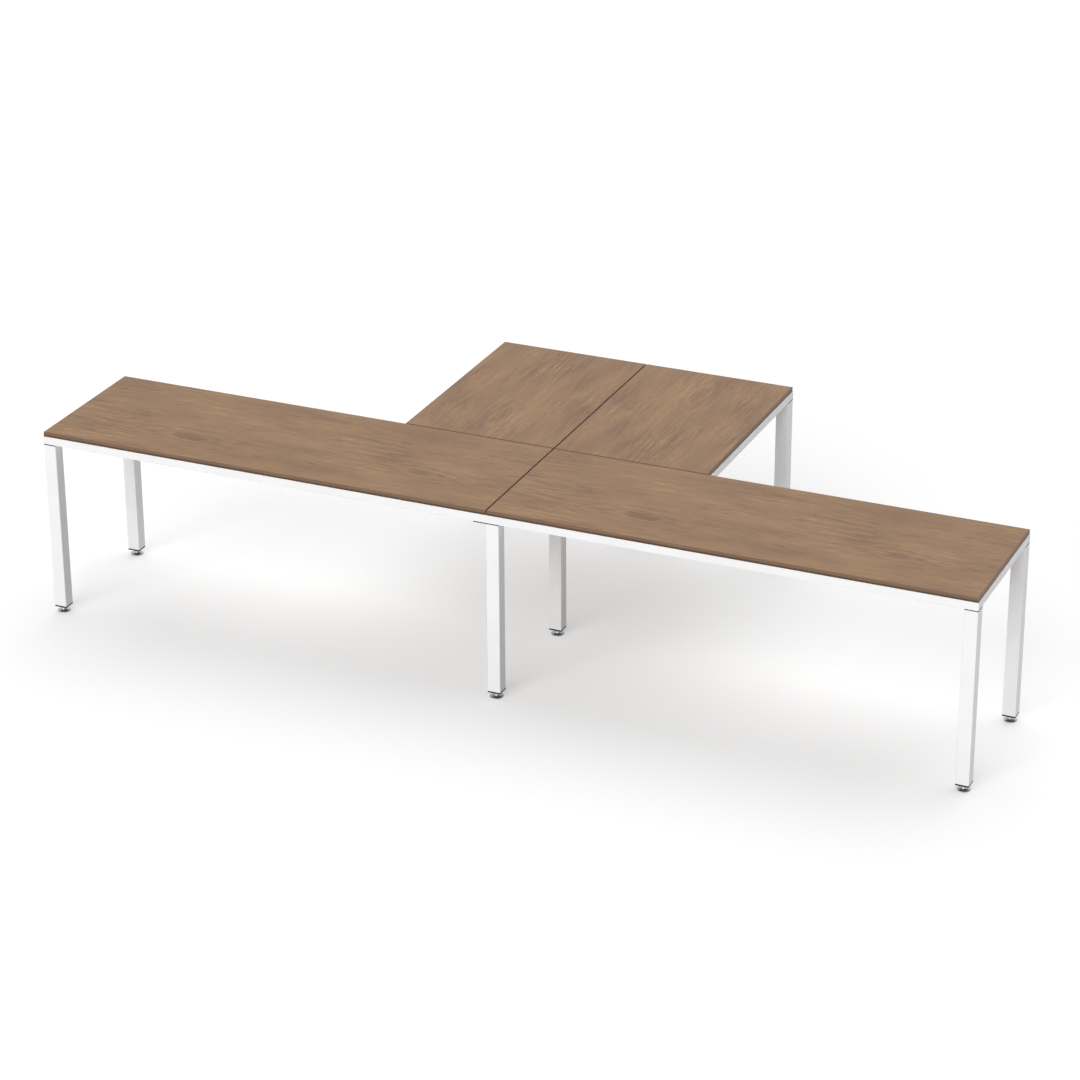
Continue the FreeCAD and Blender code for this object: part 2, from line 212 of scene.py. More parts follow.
@dataclass(frozen=True)
class WalnutLaminate:
    """Printed walnut decor under a matt melamine skin, pressed on chipboard.

    The eye sees a warm grey-brown print of low contrast: fibre streaks and short pores in patches,
    a few small knots with soft arches of the growth rings round them, and hardly any gloss.
    Each layer adds to the tone by its weight. Reaches from a knot are counted in arches.

    Attributes:
        name: Name of the material.
        grain: Direction of the decor.
        shift_mm: Part of the decor roll that this top shows.
        knots_mm: Places of the knots on the desk.
        tones: Colours of the print, from dark to light.
        sway: Slow sideways wander of the grain.
        sway_width_mm: How far the grain wanders.
        patch: Where streaks and pores gather, with calm wood between.
        patch_span: Noise at which a patch begins and is full.
        calm_share: Share of streaks and pores that calm wood keeps.
        cloud: Broad light and dark of the wood.
        streak: Long streaks along the grain.
        fibre: Short fine fibres.
        pore: Dark dashes of cut vessels.
        pore_span: Noise at which a pore begins and is darkest.
        pore_share: Share of its brown in the darkest pore.
        pore_brown: Colour of the vessels.
        arch_mm: Length and width of an arch of unit reach round a knot.
        rings_per_arch: Growth rings on that reach.
        ring_break: How far streaks push the rings, which breaks them into dashes.
        ring_span: Reaches between which the rings fade away.
        knot_blend: Reach over which the arches of two knots join.
        knot_span: Reaches between which a knot's dark eye fades away.
        knot_share: Share of its brown in the eye.
        knot_brown: Colour of the eye.
        roughness: Roughness of dark and of light fibres.
        relief: Strength of the fibres' relief.
        relief_mm: Depth of that relief.
        specular_level: Gloss of the matt skin.
    """

    name: str
    grain: Grain
    shift_mm: Pair
    knots_mm: tuple[Pair, ...]
    tones: Stops = ((0.05, "#5A4029"), (0.35, "#785A40"), (0.60, "#896949"), (0.95, "#A3825E"))
    sway: PrintLayer = PrintLayer((260.0, 110.0), 2.0, 0.5)
    sway_width_mm: float = 34.0
    patch: PrintLayer = PrintLayer((380.0, 150.0), 2.0, 0.5)
    patch_span: Pair = (0.38, 0.64)
    calm_share: float = 0.30
    cloud: PrintLayer = PrintLayer((330.0, 110.0), 3.0, 0.55)
    cloud_weight: float = 0.75
    streak: PrintLayer = PrintLayer((170.0, 13.0), 4.0, 0.6)
    streak_weight: float = 1.05
    fibre: PrintLayer = PrintLayer((42.0, 4.0), 3.0, 0.65)
    fibre_weight: float = 1.15
    # About three times as wide as real pores, so that they show
    pore: PrintLayer = PrintLayer((18.0, 1.1), 1.0, 0.5)
    pore_span: Pair = (0.60, 0.74)
    pore_share: float = 0.5
    pore_brown: str = "#4F3722"
    arch_mm: Pair = (1000.0, 300.0)
    rings_per_arch: float = 11.0
    ring_break: float = 0.22
    ring_span: Pair = (0.03, 0.30)
    ring_weight: float = 0.27
    knot_blend: float = 0.1
    knot_span: Pair = (0.010, 0.045)
    knot_share: float = 0.55
    knot_brown: str = "#5A3E29"
    roughness: Pair = (0.40, 0.56)
    relief: float = 0.08
    relief_mm: float = 0.3
    specular_level: float = 0.25

    def material(self) -> bpy.types.Material:
        """Build the laminate's material.

        Returns:
            The finished material.
        """
        material, tree = empty_material(self.name)
        along = self._decor_place(tree)
        run = self._swayed_place(tree, along)
        reach = self._knot_reach(tree, run)
        patch = add_node(tree, "MapRange", {
            "Value": self.patch.draw(tree, along),
            "From Min": self.patch_span[0], "From Max": self.patch_span[1],
            "To Min": self.calm_share, "To Max": 1.0,
        }).outputs["Result"]
        near_knot = add_node(tree, "MapRange", {
            "Value": reach,
            "From Min": self.ring_span[0], "From Max": self.ring_span[1],
            "To Min": 1.0, "To Max": 0.0,
        }).outputs["Result"]
        streak = self.streak.draw(tree, run)
        fibre = self.fibre.draw(tree, run)
        tone = self._tone(tree, (
            (self._rings(tree, reach, streak), near_knot, self.ring_weight),
            (streak, patch, self.streak_weight),
            (fibre, patch, self.fibre_weight),
            (self.cloud.draw(tree, along), 1.0, self.cloud_weight),
        ))
        sheen = add_node(tree, "MapRange", {
            "Value": fibre, "To Min": self.roughness[0], "To Max": self.roughness[1]})
        relief = add_node(tree, "Bump", {
            "Height": fibre, "Strength": self.relief, "Distance": self.relief_mm * MM})
        finish_surface(tree, {
            "Base Color": self._colour(tree, tone, run, patch, reach),
            "Roughness": sheen.outputs["Result"],
            "Normal": relief.outputs["Normal"],
            "Specular IOR Level": self.specular_level,
        })
        return material

    def _decor_place(self, tree: Tree) -> Socket:
        """Lay the top on the decor roll.

        Args:
            tree: Node tree that takes the place.

        Returns:
            Socket of the place on the decor, in metres, with the grain along its X.
        """
        decor = add_node(tree, "Mapping", {
            "Vector": add_node(tree, "TexCoord").outputs["Object"],
            "Location": (self.shift_mm[0] * MM, self.shift_mm[1] * MM, 0.0),
            "Rotation": (0.0, 0.0, math.radians(self.grain.value)),
        })
        return decor.outputs["Vector"]

    def _swayed_place(self, tree: Tree, along: Socket) -> Socket:
        """Sway the grain sideways, so that rings and streaks don't run ruler-straight.

        Args:
            tree: Node tree that takes the sway.
            along: Socket of the place on the decor.

        Returns:
            Socket of the swayed place.
        """
        width = add_node(tree, "Math", {
            0: self.sway.draw(tree, along), 1: self.sway_width_mm * MM}, operation="MULTIPLY")
        sideways = add_node(tree, "CombineXYZ", {"Y": width.outputs["Value"]})
        swayed = add_node(tree, "VectorMath", {
            0: along, 1: sideways.outputs["Vector"]}, operation="ADD")
        return swayed.outputs["Vector"]

    def _knot_reach(self, tree: Tree, run: Socket) -> Socket:
        """Measure how far a place lies from the nearest knot, in arches.

        Args:
            tree: Node tree that takes the measure.
            run: Socket of the swayed place on the decor.

        Returns:
            Socket of the reach.
        """
        turn = Matrix.Rotation(math.radians(self.grain.value), 2)
        squash = Vector((1 / (self.arch_mm[0] * MM), 1 / (self.arch_mm[1] * MM)))
        nearest: Socket | float = FAR_AWAY
        for knot_mm in self.knots_mm:
            knot = (turn @ Vector(knot_mm) + Vector(self.shift_mm)) * MM
            centred = add_node(tree, "Mapping", {
                "Vector": run,
                "Location": (-knot.x * squash.x, -knot.y * squash.y, 0.0),
                "Scale": (squash.x, squash.y, 0.0),
            })
            reach = add_node(tree, "VectorMath", {
                0: centred.outputs["Vector"]}, operation="LENGTH")
            joined = add_node(tree, "Math", {
                0: reach.outputs["Value"], 1: nearest, 2: self.knot_blend,
            }, operation="SMOOTH_MIN")
            nearest = joined.outputs["Value"]
        return nearest

    def _rings(self, tree: Tree, reach: Socket, streak: Socket) -> Socket:
        """Draw the growth rings round the knots, broken by the streaks.

        Args:
            tree: Node tree that takes the rings.
            reach: Socket of the reach from the nearest knot.
            streak: Socket of the streaks.

        Returns:
            Socket of the rings, from 0 to 1.
        """
        broken = add_node(tree, "Math", {
            0: streak, 1: self.ring_break, 2: reach}, operation="MULTIPLY_ADD")
        phase = add_node(tree, "Math", {
            0: broken.outputs["Value"], 1: self.rings_per_arch * 2 * math.pi,
        }, operation="MULTIPLY")
        wave = add_node(tree, "Math", {0: phase.outputs["Value"]}, operation="SINE")
        rings = add_node(tree, "MapRange", {
            "Value": wave.outputs["Value"], "From Min": -1.0, "From Max": 1.0})
        return rings.outputs["Result"]

    @staticmethod
    def _tone(tree: Tree, layers: Sequence[tuple[Socket, Socket | float, float]]) -> Socket:
        """Add the layers of the print round one half.

        Args:
            tree: Node tree that takes the sums.
            layers: Each layer, the mask under which it fades to one half, and its weight.

        Returns:
            Socket of the tone.
        """
        tone: Socket | float = 0.5 - 0.5 * sum(weight for _, _, weight in layers)
        for layer, mask, weight in layers:
            faded = add_node(tree, "Mix", {0: mask, 2: 0.5, 3: layer}, data_type="FLOAT")
            added = add_node(tree, "Math", {
                0: faded.outputs[0], 1: weight, 2: tone}, operation="MULTIPLY_ADD")
            tone = added.outputs["Value"]
        return tone

    def _colour(
        self, tree: Tree, tone: Socket, run: Socket, patch: Socket, reach: Socket
    ) -> Socket:
        """Colour the print, with its pores and the dark eyes of its knots.

        Args:
            tree: Node tree that takes the colour.
            tone: Socket of the tone.
            run: Socket of the swayed place on the decor.
            patch: Socket of the patches in which pores gather.
            reach: Socket of the reach from the nearest knot.

        Returns:
            Socket of the colour.
        """
        printed = add_node(tree, "ValToRGB", {"Fac": tone}, stops=self.tones)
        pore = add_node(tree, "MapRange", {
            "Value": self.pore.draw(tree, run),
            "From Min": self.pore_span[0], "From Max": self.pore_span[1],
            "To Min": 0.0, "To Max": self.pore_share,
        })
        pores = add_node(tree, "Math", {
            0: pore.outputs["Result"], 1: patch}, operation="MULTIPLY")
        pored = add_node(tree, "Mix", {
            "Factor": pores.outputs["Value"],
            6: printed.outputs["Color"], 7: linear(self.pore_brown),
        }, data_type="RGBA")
        eye = add_node(tree, "MapRange", {
            "Value": reach,
            "From Min": self.knot_span[0], "From Max": self.knot_span[1],
            "To Min": self.knot_share, "To Max": 0.0,
        })
        knotted = add_node(tree, "Mix", {
            "Factor": eye.outputs["Result"], 6: pored.outputs[2], 7: linear(self.knot_brown),
        }, data_type="RGBA")
        return knotted.outputs[2]


@dataclass(frozen=True)
class EdgeBand:
    """Plastic edge band with a printed walnut grain, ironed on and scraped flush.

    It looks a little darker and plainer than the tops, with streaks along the edge and a dull
    gloss. It is darker towards its lower arris: painted shade where the top meets the rail and in
    the seams between the tops. The scraped upper arris shows the dark core of the plastic, and
    that dark line also paints the shade in the seams.

    Attributes:
        name: Name of the material.
        tones: Colours of the print, from dark to light.
        streak_mm: Size of a streak.
        streak_detail: Finer noises on top of the streaks.
        streak_roughness: Share of each finer noise.
        lower_shade_mm: Heights at which the painted shade is darkest and has faded into the band.
        lower_shade_share: Share of the shade's colour where it is darkest.
        lower_shade_brown: Colour of the painted shade.
        arris_core_shade_mm: Heights at which the dark upper arris starts and is darkest.
        arris_core_shade_share: Share of its colour where it is darkest.
        arris_core_shade_brown: Colour of the plastic's core, also painted shade in the seams.
        roughness: Roughness of dark and of light streaks.
        specular_level: Gloss of the plastic.
    """

    name: str = "walnut_edge_band"
    tones: Stops = ((0.25, "#6E5440"), (0.5, "#7F624B"), (0.75, "#8D6F56"))
    streak_mm: Triple = (160.0, 160.0, 3.5)
    streak_detail: float = 4.0
    streak_roughness: float = 0.6
    lower_shade_mm: Pair = (722.0, 736.0)
    lower_shade_share: float = 0.92
    lower_shade_brown: str = "#33271E"
    arris_core_shade_mm: Pair = (738.9, 739.8)
    arris_core_shade_share: float = 0.85
    arris_core_shade_brown: str = "#4A2F1B"
    roughness: Pair = (0.40, 0.55)
    specular_level: float = 0.3

    def material(self) -> bpy.types.Material:
        """Build the edge band's material.

        Returns:
            The finished material.
        """
        material, tree = empty_material(self.name)
        place = add_node(tree, "TexCoord").outputs["Object"]
        scaled = add_node(tree, "Mapping", {"Vector": place, "Scale": stretched(self.streak_mm)})
        streak = add_node(tree, "TexNoise", {
            "Vector": scaled.outputs["Vector"],
            "Scale": 1.0,
            "Detail": self.streak_detail,
            "Roughness": self.streak_roughness,
        }).outputs["Fac"]
        printed = add_node(tree, "ValToRGB", {"Fac": streak}, stops=self.tones)
        height = add_node(tree, "SeparateXYZ", {"Vector": place}).outputs["Z"]
        # Partly painted shade: the dark upper arris shows the core and the shade in the seams
        scraped = add_node(tree, "MapRange", {
            "Value": height,
            "From Min": self.arris_core_shade_mm[0] * MM, "From Max": self.arris_core_shade_mm[1] * MM,
            "To Min": 0.0, "To Max": self.arris_core_shade_share,
        })
        core_and_shade = add_node(tree, "Mix", {
            "Factor": scraped.outputs["Result"],
            6: printed.outputs["Color"], 7: linear(self.arris_core_shade_brown),
        }, data_type="RGBA")
        # Painted shade: darker towards the lower arris, where the top meets the rail and in seams
        lower_shade = add_node(tree, "MapRange", {
            "Value": height,
            "From Min": self.lower_shade_mm[0] * MM, "From Max": self.lower_shade_mm[1] * MM,
            "To Min": self.lower_shade_share, "To Max": 0.0,
        }, interpolation_type="SMOOTHSTEP")
        banded = add_node(tree, "Mix", {
            "Factor": lower_shade.outputs["Result"], 6: core_and_shade.outputs[2], 7: linear(self.lower_shade_brown),
        }, data_type="RGBA")
        sheen = add_node(tree, "MapRange", {
            "Value": streak, "To Min": self.roughness[0], "To Max": self.roughness[1]})
        finish_surface(tree, {
            "Base Color": banded.outputs[2],
            "Roughness": sheen.outputs["Result"],
            "Specular IOR Level": self.specular_level,
        })
        return material


@dataclass(frozen=True)
class PowderCoat:
    """Polyester powder coat on steel, sprayed and baked.

    The eye sees an even satin skin with a faint orange peel.

    Attributes:
        name: Name of the material.
        tones: Colours of the coat, from dark to light.
        roughness: Roughness of dark and of light places.
        peel_mm: Size of the orange peel.
        peel_detail: Finer noises on top of the peel.
        peel_strength: Strength of the peel's relief.
        peel_depth_mm: Depth of that relief.
        cloud_mm: Size of the coat's faint clouds.
        cloud_detail: Finer noises on top of the clouds.
    """

    name: str
    tones: Stops
    roughness: Pair = (0.38, 0.48)
    # Three times as coarse as real orange peel, so that it shows
    peel_mm: float = 3.0
    peel_detail: float = 1.0
    peel_strength: float = 0.10
    peel_depth_mm: float = 0.2
    cloud_mm: float = 180.0
    cloud_detail: float = 2.0

    def material(self) -> bpy.types.Material:
        """Build the coat's material.

        Returns:
            The finished material.
        """
        material, tree = empty_material(self.name)
        place = add_node(tree, "TexCoord").outputs["Object"]
        peel = add_node(tree, "TexNoise", {
            "Vector": place, "Scale": 1 / (self.peel_mm * MM), "Detail": self.peel_detail})
        cloud = add_node(tree, "TexNoise", {
            "Vector": place, "Scale": 1 / (self.cloud_mm * MM), "Detail": self.cloud_detail,
        }).outputs["Fac"]
        colour = add_node(tree, "ValToRGB", {"Fac": cloud}, stops=self.tones)
        sheen = add_node(tree, "MapRange", {
            "Value": cloud, "To Min": self.roughness[0], "To Max": self.roughness[1]})
        relief = add_node(tree, "Bump", {
            "Height": peel.outputs["Fac"],
            "Strength": self.peel_strength,
            "Distance": self.peel_depth_mm * MM,
        })
        finish_surface(tree, {
            "Base Color": colour.outputs["Color"],
            "Roughness": sheen.outputs["Result"],
            "Normal": relief.outputs["Normal"],
        })
        return material


@dataclass(frozen=True)
class MouldedPlastic:
    """Injection-moulded black polypropylene from a spark-eroded mould.

    The eye sees a dull black with a fine grain.

    Attributes:
        name: Name of the material.
        tones: Colours of the plastic, from dark to light.
        grain_mm: Size of the grain.
        grain_detail: Finer noises on top of the grain.
        grain_strength: Strength of the grain's relief.
        grain_depth_mm: Depth of that relief.
        roughness: Roughness of the plastic.
    """

    name: str = "black_polypropylene"
    tones: Stops = ((0.3, "#18181A"), (0.7, "#222224"))
    # About ten times as coarse as the real grain, so that it shows
    grain_mm: float = 1.2
    grain_detail: float = 2.0
    grain_strength: float = 0.2
    grain_depth_mm: float = 0.1
    roughness: float = 0.55

    def material(self) -> bpy.types.Material:
        """Build the plastic's material.

        Returns:
            The finished material.
        """
        material, tree = empty_material(self.name)
        grain = add_node(tree, "TexNoise", {
            "Vector": add_node(tree, "TexCoord").outputs["Object"],
            "Scale": 1 / (self.grain_mm * MM),
            "Detail": self.grain_detail,
        }).outputs["Fac"]
        colour = add_node(tree, "ValToRGB", {"Fac": grain}, stops=self.tones)
        relief = add_node(tree, "Bump", {
            "Height": grain,
            "Strength": self.grain_strength,
            "Distance": self.grain_depth_mm * MM,
        })
        finish_surface(tree, {
            "Base Color": colour.outputs["Color"],
            "Normal": relief.outputs["Normal"],
            "Roughness": self.roughness,
        })
        return material


@dataclass(frozen=True)
class PlatedSteel:
    """Turned steel with a bright zinc plate, tumbled in a barrel.

    The eye sees a pale, slightly blurred metal with soft spots where the plate is uneven.

    Attributes:
        name: Name of the material.
        tones: Colours of the plate, from dark to light.
        roughness: Roughness of dark and of light spots.
        spot_mm: Size of a spot.
        spot_detail: Finer noises on top of the spots.
    """

    name: str
    tones: Stops
    roughness: Pair = (0.22, 0.36)
    spot_mm: float = 9.0
    spot_detail: float = 3.0

    def material(self) -> bpy.types.Material:
        """Build the metal's material.

        Returns:
            The finished material.
        """
        material, tree = empty_material(self.name)
        spots = add_node(tree, "TexNoise", {
            "Vector": add_node(tree, "TexCoord").outputs["Object"],
            "Scale": 1 / (self.spot_mm * MM),
            "Detail": self.spot_detail,
        }).outputs["Fac"]
        colour = add_node(tree, "ValToRGB", {"Fac": spots}, stops=self.tones)
        sheen = add_node(tree, "MapRange", {
            "Value": spots, "To Min": self.roughness[0], "To Max": self.roughness[1]})
        finish_surface(tree, {
            "Base Color": colour.outputs["Color"],
            "Roughness": sheen.outputs["Result"],
            "Metallic": 1.0,
        })
        return material


WHITE_COAT = PowderCoat("white_powder_coat", ((0.3, "#EFEFEF"), (0.7, "#F4F4F4")))
GREY_COAT = PowderCoat("dark_grey_powder_coat", ((0.3, "#3A3A3C"), (0.7, "#434345")))
BLACK_PLASTIC = MouldedPlastic()
FASTENER_ZINC = PlatedSteel("zinc_plated_fasteners", ((0.3, "#A9A9AA"), (0.7, "#C2C2C2")))
FOOT_ZINC = PlatedSteel("zinc_plated_foot", ((0.3, "#A8A8AA"), (0.7, "#C0C0C2")), (0.34, 0.46))


def dress(nodes: Sequence[str], material: bpy.types.Material) -> None:
    """Give CAD nodes a material.

    Args:
        nodes: Names of the nodes.
        material: Material for all their slots.
    """
    for name in nodes:
        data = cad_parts[name].data
        data.materials.clear()
        data.materials.append(material)
        LOG.info("dressed %s in %s", name, material.name)


def select_only(*pieces: bpy.types.Object) -> None:
    """Select some pieces and nothing else, with the first one active.

    Args:
        pieces: Pieces for the next operator, or none before a primitive is added.
    """
    bpy.ops.object.select_all(action="DESELECT")
    for piece in pieces:
        piece.select_set(True)
    if pieces:
        bpy.context.view_layer.objects.active = pieces[0]


def edit_all() -> None:
    """Open the active piece for editing, with all of it selected."""
    bpy.ops.object.mode_set(mode="EDIT")
    bpy.ops.mesh.select_all(action="SELECT")


def close_edited() -> None:
    """Turn all faces of the edited piece outwards and go back to object mode."""
    bpy.ops.mesh.select_all(action="SELECT")
    bpy.ops.mesh.normals_make_consistent(inside=False)
    bpy.ops.object.mode_set(mode="OBJECT")


def apply_modifiers(piece: bpy.types.Object) -> None:
    """Apply every modifier of a piece, in order.

    Args:
        piece: Mesh object to finish.
    """
    select_only(piece)
    for name in [modifier.name for modifier in piece.modifiers]:
        bpy.ops.object.modifier_apply(modifier=name)


def shade(piece: bpy.types.Object, shading: Shading) -> None:
    """Smooth a piece up to its shading's angle.

    Args:
        piece: Mesh object to shade.
        shading: Angle up to which faces blend.
    """
    select_only(piece)
    bpy.ops.object.shade_smooth_by_angle(angle=math.radians(shading.value))


def turned_piece(name: str, rings_mm: Sequence[Pair], segments: int) -> bpy.types.Object:
    """Model a turned piece about Z: a disc, extruded and scaled from ring to ring.

    Args:
        name: Name of the piece.
        rings_mm: Radius and height of each ring, from the bottom up.
        segments: Corners of each ring.

    Returns:
        The new piece, closed, with its normals outwards.
    """
    rings = [(radius * MM, height * MM) for radius, height in rings_mm]
    radius, height = rings[0]
    select_only()
    # A quarter turn puts the first corner on +X, as on the solids
    bpy.ops.mesh.primitive_circle_add(
        vertices=segments, radius=radius, fill_type="NGON",
        location=(0.0, 0.0, 0.0), rotation=(0.0, 0.0, -math.pi / 2))
    piece = bpy.context.object
    piece.name = name
    bpy.ops.object.transform_apply(location=False, rotation=True, scale=False)
    edit_all()
    bpy.ops.transform.translate(value=(0.0, 0.0, height))
    for next_radius, next_height in rings[1:]:
        bpy.ops.mesh.extrude_region_move(
            TRANSFORM_OT_translate={"value": (0.0, 0.0, next_height - height)})
        share = next_radius / radius
        bpy.ops.transform.resize(
            value=(share, share, 1.0), center_override=(0.0, 0.0, next_height))
        radius, height = next_radius, next_height
    close_edited()
    return piece


def placed_copy(master: bpy.types.Object, name: str, place: Vector) -> bpy.types.Object:
    """Copy a modelled piece to its place, with the place in its own mesh.

    Args:
        master: Piece modelled on the origin.
        name: Name of the copy.
        place: Where the master's origin goes.

    Returns:
        The copy.
    """
    copy = master.copy()
    copy.data = master.data.copy()
    copy.name = name
    copy.data.name = name
    copy.data.transform(Matrix.Translation(place))
    bpy.context.scene.collection.objects.link(copy)
    return copy


@dataclass
class Worktop:
    """One laminated top with its edge band.

    Attributes:
        module: Name of the desk module that the top belongs to.
        grain: Direction of its decor.
        shift_mm: Part of the decor that it shows.
        knots_mm: Places of its knots on the desk.
    """

    module: str
    grain: Grain
    shift_mm: Pair
    knots_mm: tuple[Pair, ...]

    def dress(self, band: bpy.types.Material) -> None:
        """Dress the board and its band.

        Args:
            band: Material of the edge band.
        """
        decor = WalnutLaminate(
            self.module + "_walnut_laminate", self.grain, self.shift_mm, self.knots_mm)
        dress((self.module + "_top",), decor.material())
        dress((self.module + "_edge_band",), band)


# Both bar tops show the same part of the print, and the stem tops show it end for end
WORKTOPS = (
    Worktop("bar_left", Grain.ALONG_BAR, (5200.0, 300.0), ((-339.0, -522.0), (-1292.0, -566.0))),
    Worktop("bar_right", Grain.ALONG_BAR, (3396.0, 300.0), ((1465.0, -522.0), (512.0, -566.0))),
    Worktop("stem_left", Grain.ALONG_STEM, (3300.0, 1250.0), ((-320.0, 58.0),)),
    Worktop("stem_right", Grain.BACK_ALONG_STEM, (3904.0, 1250.0), ((320.0, 546.0),)),
)


@dataclass
class SteelFrame:
    """Rails, legs and fixing tabs in white, with dark plates and black plugs between them."""

    modules: tuple[str, ...] = ("bar_left", "bar_right", "stem_left", "stem_right")
    sides: tuple[str, ...] = ("front", "right", "rear", "left")

    def dress(self) -> None:
        """Dress the tubes, plates, plugs and fasteners."""
        rails = [f"{module}_{side}_rail" for module in self.modules for side in self.sides]
        legs = [leg + "_leg" for leg in LEG_NAMES]
        plates = ("leg_spacer_plates", "frame_link_plates", "centre_link_plate")
        fasteners = ("leg_bolts", "frame_link_bolts", "top_fixing_screws")
        dress(rails + legs + ["top_fixing_tabs"], WHITE_COAT.material())
        dress(plates, GREY_COAT.material())
        dress(("leg_end_plugs",), BLACK_PLASTIC.material())
        dress(fasteners, FASTENER_ZINC.material())


@dataclass
class LevellingFoot:
    """Flared steel foot with a hexagon and a threaded stud, one below each leg.

    Sizes are in millimetres, heights are above the floor, and both follow the solids that the
    pieces stand for.

    Attributes:
        disc_radius: Radius of the foot's sole.
        rim_height: Height of the upright rim.
        shoulder: Flat step between the rim and the flare.
        neck_radius: Radius of the neck on which the hexagon turns.
        flare_top: Height at which the flare runs into the neck.
        neck_top: Height of the neck, where the hexagon begins.
        flare_steps: Rings along the flare.
        disc_segments: Corners of each ring of the foot.
        edge_bevel: Width of the eased edges.
        bevel_segments: Steps across an eased edge.
        bevel_angle: Smallest angle of an edge that is eased, in degrees.
        nut_across_flats: Width of the hexagon.
        nut_top: Height at which the hexagon ends and the stud begins.
        nut_chamfer: Width of the chamfer on the hexagon's corners.
        stud_radius: Radius over the thread.
        stud_top: Height of the stud.
        stud_chamfer: Chamfer on the stud's end.
        stud_segments: Corners of the stud's core.
        thread_pitch: Rise of the thread in one turn.
        thread_depth: Height of the thread's ridge.
        thread_fill: Share of the pitch that the ridge covers.
        thread_sink: How far the ridge's base lies inside the core.
        thread_run_out: Plain length at the stud's end.
        thread_steps: Steps in one turn of the ridge.
        slot: Material slot of the record. It is not used.
    """

    disc_radius: float = 25.0
    rim_height: float = 3.0
    shoulder: float = 1.0
    neck_radius: float = 9.0
    flare_top: float = 12.0
    neck_top: float = 15.0
    flare_steps: int = 10
    disc_segments: int = 64
    edge_bevel: float = 0.5
    bevel_segments: int = 3
    bevel_angle: float = 50.0
    nut_across_flats: float = 17.0
    nut_top: float = 23.0
    nut_chamfer: float = 1.1
    stud_radius: float = 5.0
    stud_top: float = 62.0
    stud_chamfer: float = 1.0
    stud_segments: int = 32
    thread_pitch: float = 1.5
    thread_depth: float = 0.85
    thread_fill: float = 0.84
    thread_sink: float = 0.1
    thread_run_out: float = 1.5
    thread_steps: int = 24
    slot: str = "foot_steel"

    def build(self) -> None:
        """Model one disc and one stud, and copy them below every leg."""
        steel = FOOT_ZINC.material()
        disc = self._disc()
        stud = self._stud()
        for master in (disc, stud):
            master.data.materials.clear()
            master.data.materials.append(steel)
        for leg in LEG_NAMES:
            low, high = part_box(leg + "_foot")
            place = Vector(((low[0] + high[0]) / 2, (low[1] + high[1]) / 2, low[2]))
            self._place(disc, leg, "foot", "foot_disc", place)
            self._place(stud, leg, "stud", "foot_stud_threaded", place)
        for master in (disc, stud):
            bpy.data.objects.remove(master)

    def _place(
        self, master: bpy.types.Object, leg: str, body: str, kind: str, place: Vector
    ) -> None:
        """Copy a modelled piece below a leg, in place of its solid.

        Args:
            master: The modelled piece.
            leg: Name of the leg.
            body: Last word of the body that the piece rides on.
            kind: Last words of the piece's name.
            place: Point on the floor below the leg's middle.
        """
        piece = placed_copy(master, f"{leg}_{kind}", place)
        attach(piece, f"{leg}_{body}")
        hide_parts(f"{leg}_foot" if body == "foot" else f"{leg}_foot_stud")
        LOG.info("built %s", piece.name)

    def _disc(self) -> bpy.types.Object:
        """Model the flared disc.

        Returns:
            The disc on the origin.
        """
        span = self.disc_radius - self.shoulder - self.neck_radius
        rise = self.flare_top - self.rim_height
        rings = [(self.disc_radius, 0.0), (self.disc_radius, self.rim_height)]
        for step in range(self.flare_steps + 1):
            angle = math.pi / 2 * step / self.flare_steps
            rings.append((
                self.neck_radius + span * (1 - math.sin(angle)),
                self.rim_height + rise * (1 - math.cos(angle)),
            ))
        rings.append((self.neck_radius, self.neck_top))
        disc = turned_piece("foot_disc", rings, self.disc_segments)
        bevel = disc.modifiers.new("eased_edges", "BEVEL")
        bevel.width = self.edge_bevel * MM
        bevel.segments = self.bevel_segments
        bevel.limit_method = "ANGLE"
        bevel.angle_limit = math.radians(self.bevel_angle)
        apply_modifiers(disc)
        shade(disc, Shading.TURNED)
        return disc

    def _stud(self) -> bpy.types.Object:
        """Model the hexagon, the core of the stud and its thread.

        Returns:
            The stud on the origin.
        """
        corner = self.nut_across_flats / math.sqrt(3)
        chamfered = corner - self.nut_chamfer
        drop = self.nut_chamfer / 2
        nut = turned_piece("foot_nut", (
            (chamfered, self.neck_top),
            (corner, self.neck_top + drop),
            (corner, self.nut_top - drop),
            (chamfered, self.nut_top),
        ), segments=6)
        root = self.stud_radius - self.thread_depth
        core = turned_piece("foot_core", (
            (root, self.nut_top),
            (root, self.stud_top - self.stud_chamfer),
            (root - self.stud_chamfer, self.stud_top),
        ), self.stud_segments)
        pieces = (nut, core, self._thread(root))
        for piece in pieces:
            shade(piece, Shading.FACETED)
        select_only(*pieces)
        bpy.ops.object.join()
        return bpy.context.object

    def _thread(self, root: float) -> bpy.types.Object:
        """Model the ridge of the thread: a small triangle wound up the stud.

        Args:
            root: Radius at the foot of the ridge, in millimetres.

        Returns:
            The ridge as a closed mesh.
        """
        base = self.thread_fill * self.thread_pitch
        inner = root - self.thread_sink
        height = self.stud_radius - inner
